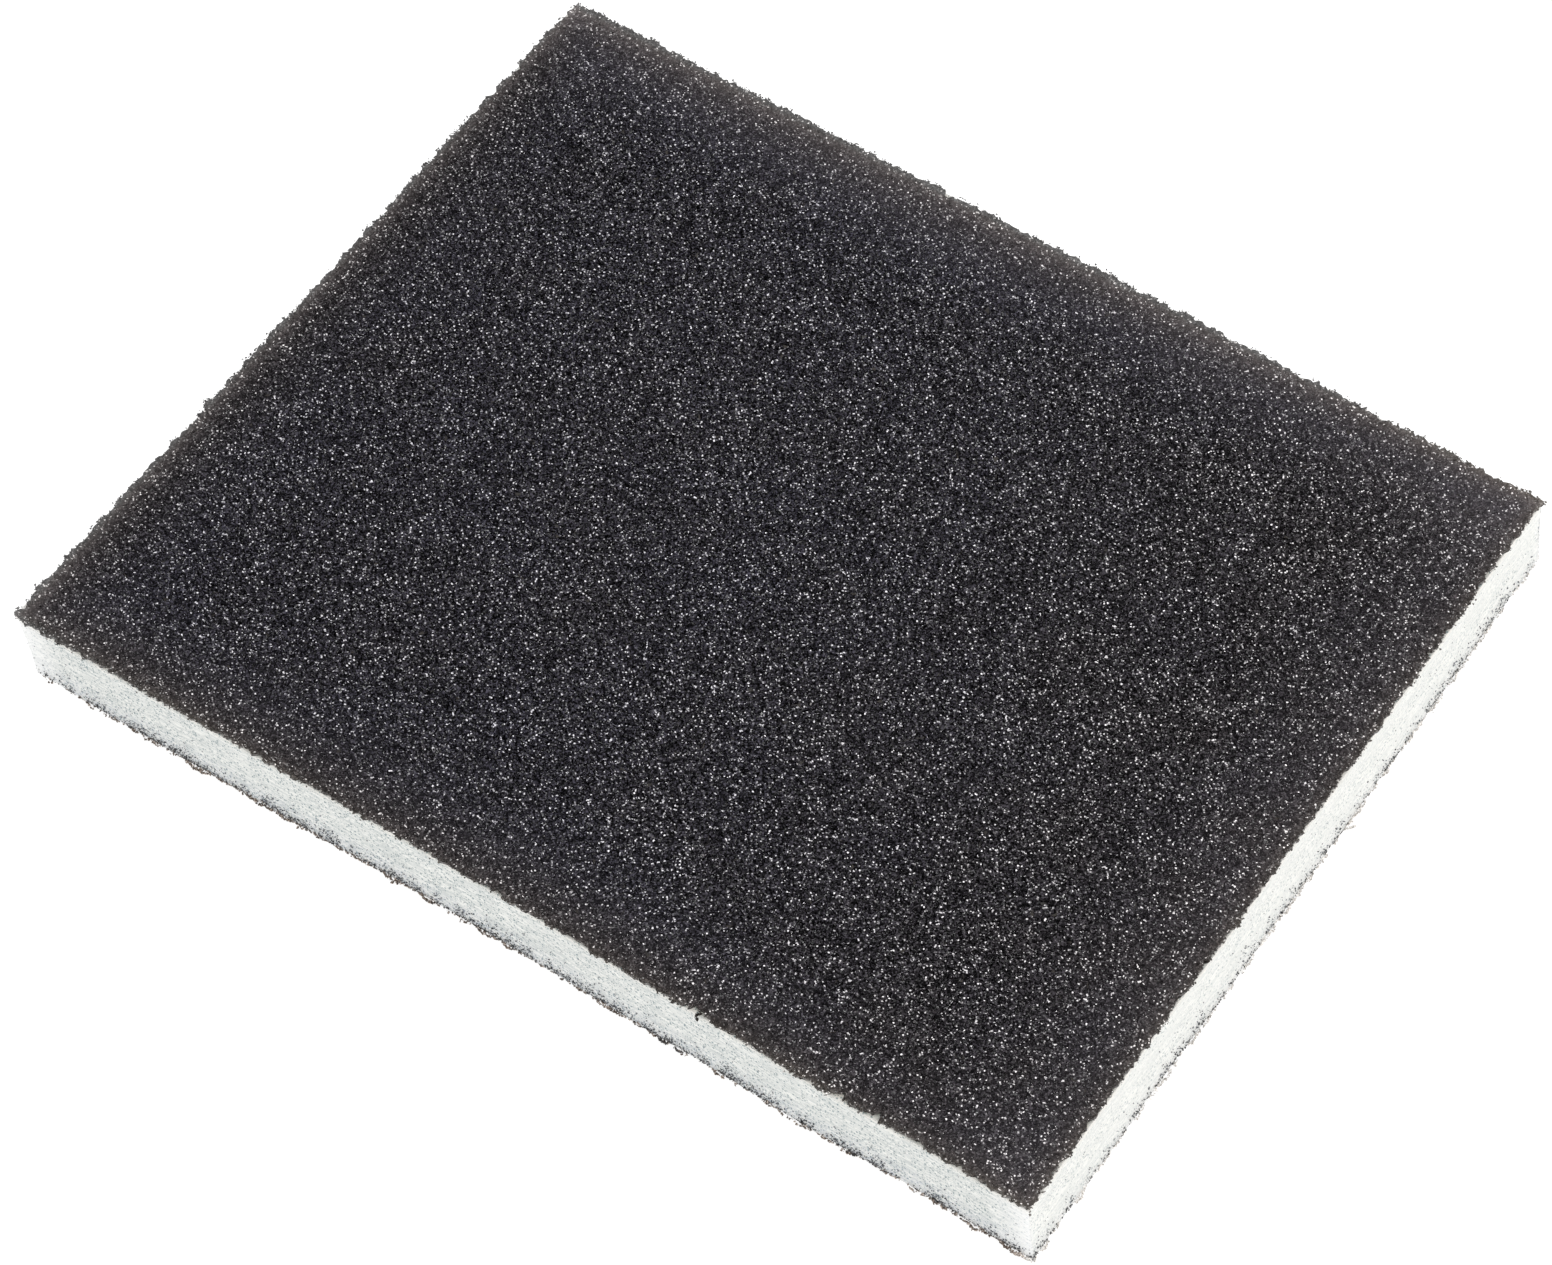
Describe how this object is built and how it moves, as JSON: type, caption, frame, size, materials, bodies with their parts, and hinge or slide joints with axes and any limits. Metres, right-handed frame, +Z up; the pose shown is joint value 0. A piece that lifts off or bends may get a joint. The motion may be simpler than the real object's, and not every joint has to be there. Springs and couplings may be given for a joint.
{
  "type": "sanding block",
  "caption": "Flat rectangular sanding pad with a soft pale foam core and coarse black abrasive grain on both broad faces, for sanding by hand.",
  "frame": {"origin": "centre of the lower working face, on the surface that the pad rests on", "axes": "+X along the pad's length, +Y along its width, +Z up through its thickness"},
  "size_m": [0.123, 0.098, 0.011],
  "materials": {
    "foam": "soft fine-celled polyurethane foam with knife-cut sides, pale mint white, matt",
    "grain": "black silicon carbide grain, about 0.2 to 0.4 mm across, sharp glassy facets that glint",
    "resin": "flexible dark binder resin, satin where it wets the grain"
  },
  "bodies": {
    "lower_half": {"foam_core": "foam", "bottom_make_coat": "resin", "bottom_grain_coat": "grain", "bottom_size_coat": "resin"},
    "upper_coat": {"top_make_coat": "resin", "top_grain_coat": "grain", "top_size_coat": "resin"}
  },
  "joints": [
    {"name": "foam_squash", "type": "slide", "parent": "lower_half", "child": "upper_coat", "axis": [0, 0, -1], "range_m": [0, 0.006], "stiffness_N_per_m": 60000, "deforming": ["foam_core"]}
  ]
}
